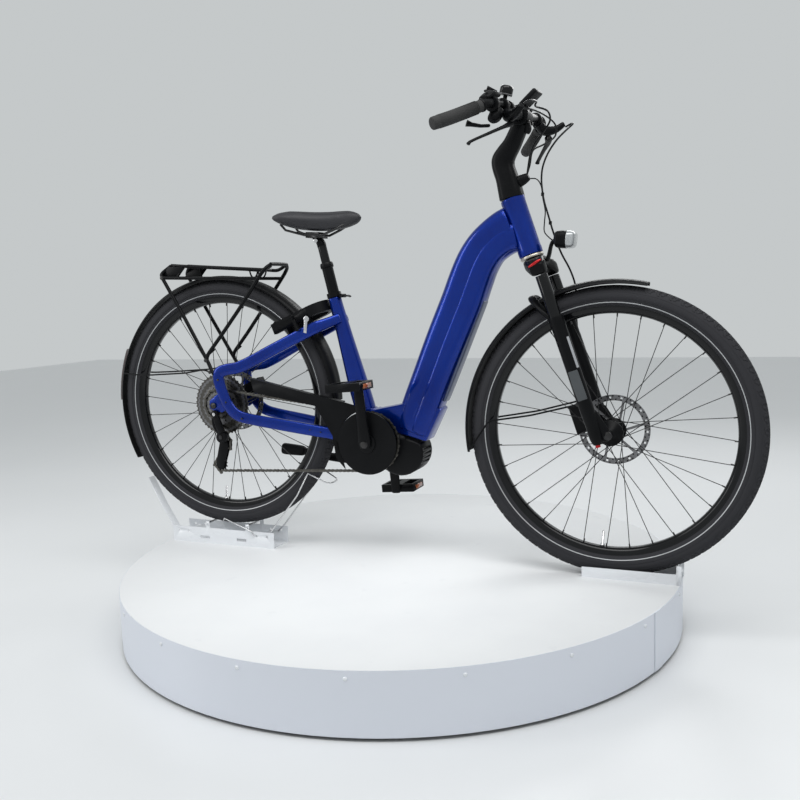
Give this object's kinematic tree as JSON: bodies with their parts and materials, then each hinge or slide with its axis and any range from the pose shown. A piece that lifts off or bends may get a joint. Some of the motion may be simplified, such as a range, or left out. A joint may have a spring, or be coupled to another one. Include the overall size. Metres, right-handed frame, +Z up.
{
  "type": "bicycle on stand",
  "caption": "Step-through city e-bicycle with rack, mudguards and mid motor, held upright on a round display turntable.",
  "frame": {"origin": "on the floor under the centre of the round turntable", "axes": "+X towards the bicycle's front wheel, +Y to its left, +Z up"},
  "size_m": [1.8966, 1.523, 1.3742],
  "materials": {
    "base_board": "black film-faced board",
    "bearing_steel": "ground steel",
    "motor_grey": "satin enamel",
    "roller_rubber": "matt",
    "deck_white": "board with a satin white laminate",
    "beam_grey": "matt",
    "skirt_sheet": "satin coated sheet",
    "holder_white": "gloss white enamel",
    "wire_zinc": "zinc plated wire",
    "frame_blue": "metallic blue under clear coat",
    "alloy_black": "black anodised",
    "plastic_black": "fine grained",
    "gloss_black": "gloss",
    "chain_steel": "dark plated",
    "steel_dark": "phosphated",
    "tyre_rubber": "matt with a reflective stripe",
    "saddle_cover": "synthetic cover",
    "grip_rubber": "ribbed",
    "light_red": "smoked red lens",
    "light_body": "black with a clear lens",
    "pedal_body": "black with orange reflectors",
    "hose_black": "satin"
  },
  "bodies": {
    "base": {"base_plate": "base_board", "slew_bearing": "bearing_steel", "drive_motor": "motor_grey"},
    "roller": {"drive_roller": "roller_rubber"},
    "turntable": {"deck": "deck_white", "deck_frame": "beam_grey", "skirt": "skirt_sheet", "skirt_screws": "holder_white", "front_trough": "holder_white", "wheel_holder": "holder_white", "holder_strap": "holder_white", "holder_wires": "wire_zinc"},
    "frame": {"down_tube": "frame_blue", "seat_tube": "frame_blue", "rear_stays": "frame_blue", "motor_unit": "alloy_black", "motor_cover": "plastic_black", "battery": "plastic_black", "chain_guard": "plastic_black", "chain": "chain_steel", "seat_clamp": "alloy_black", "rear_mudguard": "plastic_black", "rear_light": "light_red", "rack": "alloy_black", "ring_lock": "plastic_black", "rear_caliper": "alloy_black", "derailleur": "alloy_black", "rear_axle": "steel_dark"},
    "seatpost": {"seatpost_outer": "alloy_black"},
    "saddle_top": {"seatpost_inner": "alloy_black", "saddle_rails": "steel_dark", "saddle": "saddle_cover"},
    "steering": {"fork_crown": "alloy_black", "stem": "alloy_black", "handlebar": "alloy_black", "grips": "grip_rubber", "controls": "plastic_black", "bell": "gloss_black", "headlight": "light_body", "cables": "hose_black"},
    "right_lever": {"brake_lever_right": "alloy_black"},
    "left_lever": {"brake_lever_left": "alloy_black"},
    "shifter": {"shift_lever": "plastic_black"},
    "striker": {"bell_striker": "plastic_black"},
    "lower_fork": {"fork_lowers": "alloy_black", "front_mudguard": "plastic_black", "front_caliper": "alloy_black"},
    "front_wheel": {"front_tyre": "tyre_rubber", "front_rim": "alloy_black", "front_spokes": "steel_dark", "front_hub": "alloy_black"},
    "rear_wheel": {"rear_tyre": "tyre_rubber", "rear_rim": "alloy_black", "rear_spokes": "steel_dark", "rear_hub": "alloy_black"},
    "sprockets": {"cassette": "steel_dark"},
    "cranks": {"crankset": "alloy_black"},
    "right_pedal": {"pedal_right": "pedal_body"},
    "left_pedal": {"pedal_left": "pedal_body"},
    "side_stand": {"kickstand": "alloy_black"}
  },
  "joints": [
    {"name": "turntable_spin", "type": "hinge", "parent": "base", "child": "turntable", "pos_m": [0, 0, 0.07], "axis": [0, 0, 1], "continuous": true},
    {"name": "roller_spin", "type": "hinge", "parent": "base", "child": "roller", "pos_m": [-0.45105, -0.16417, 0.0901], "axis": [-0.9397, -0.342, 0], "continuous": true},
    {"name": "bike_lift", "type": "slide", "parent": "turntable", "child": "frame", "axis": [0, 0, 1], "range_m": [0, 0.45]},
    {"name": "steering", "type": "hinge", "parent": "frame", "child": "steering", "pos_m": [0.53695, 0, 0.52213], "axis": [-0.3113, 0, 0.9503], "range_deg": [-2.5, 2.5]},
    {"name": "fork_travel", "type": "slide", "parent": "steering", "child": "lower_fork", "axis": [-0.3113, 0, 0.9503], "range_m": [0, 0.055], "stiffness_N_per_m": 3000, "deforming": ["cables"]},
    {"name": "front_wheel_spin", "type": "hinge", "parent": "lower_fork", "child": "front_wheel", "pos_m": [0.58958, 0, 0.5195], "axis": [0, 1, 0], "continuous": true},
    {"name": "rear_wheel_spin", "type": "hinge", "parent": "frame", "child": "rear_wheel", "pos_m": [-0.546, 0, 0.5763], "axis": [0, 1, 0], "continuous": true},
    {"name": "crank_spin", "type": "hinge", "parent": "frame", "child": "cranks", "pos_m": [-0.05716, 0, 0.48076], "axis": [0, 1, 0], "continuous": true},
    {"name": "cassette_spin", "type": "hinge", "parent": "frame", "child": "sprockets", "pos_m": [-0.546, 0, 0.5763], "axis": [0, 1, 0], "continuous": true},
    {"name": "right_pedal_spin", "type": "hinge", "parent": "cranks", "child": "right_pedal", "pos_m": [-0.06619, 0, 0.64551], "axis": [0, 1, 0], "continuous": true},
    {"name": "left_pedal_spin", "type": "hinge", "parent": "cranks", "child": "left_pedal", "pos_m": [-0.04813, 0, 0.31601], "axis": [0, 1, 0], "continuous": true},
    {"name": "seatpost_height", "type": "slide", "parent": "frame", "child": "seatpost", "axis": [-0.2272, 0, 0.9738], "range_m": [-0.04, 0.05]},
    {"name": "seatpost_travel", "type": "slide", "parent": "seatpost", "child": "saddle_top", "axis": [0.2272, 0, -0.9738], "range_m": [0, 0.035], "stiffness_N_per_m": 15000, "springref_m": -0.003},
    {"name": "kickstand_fold", "type": "hinge", "parent": "frame", "child": "side_stand", "pos_m": [-0.15799, 0.062, 0.4067], "axis": [0, -1, 0], "range_deg": [0, 60]},
    {"name": "right_brake", "type": "hinge", "parent": "steering", "child": "right_lever", "pos_m": [0.38375, -0.15218, 1.27009], "axis": [-0.7493, 0.6469, -0.1414], "range_deg": [0, 10], "stiffness_Nm_per_rad": 1.5, "springref_deg": -5.73},
    {"name": "left_brake", "type": "hinge", "parent": "steering", "child": "left_lever", "pos_m": [0.4076, 0.13472, 1.2779], "axis": [0.8452, 0.5058, 0.1728], "range_deg": [0, 10], "stiffness_Nm_per_rad": 1.5, "springref_deg": -5.73},
    {"name": "gear_shift", "type": "hinge", "parent": "steering", "child": "shifter", "pos_m": [0.33883, -0.18245, 1.26532], "axis": [0.05, 0, 0.9988], "range_deg": [0, 14], "stiffness_Nm_per_rad": 0.5, "springref_deg": -5.73},
    {"name": "bell_ring", "type": "hinge", "parent": "steering", "child": "striker", "pos_m": [0.34514, -0.13304, 1.34869], "axis": [0.2449, 0, 0.9696], "range_deg": [0, 15], "stiffness_Nm_per_rad": 0.2, "springref_deg": -5.73}
  ],
  "couplings": [
    {"joint": "roller_spin", "follows": "turntable_spin", "ratio": -12},
    {"joint": "cassette_spin", "follows": "crank_spin", "ratio": 1.7361}
  ]
}
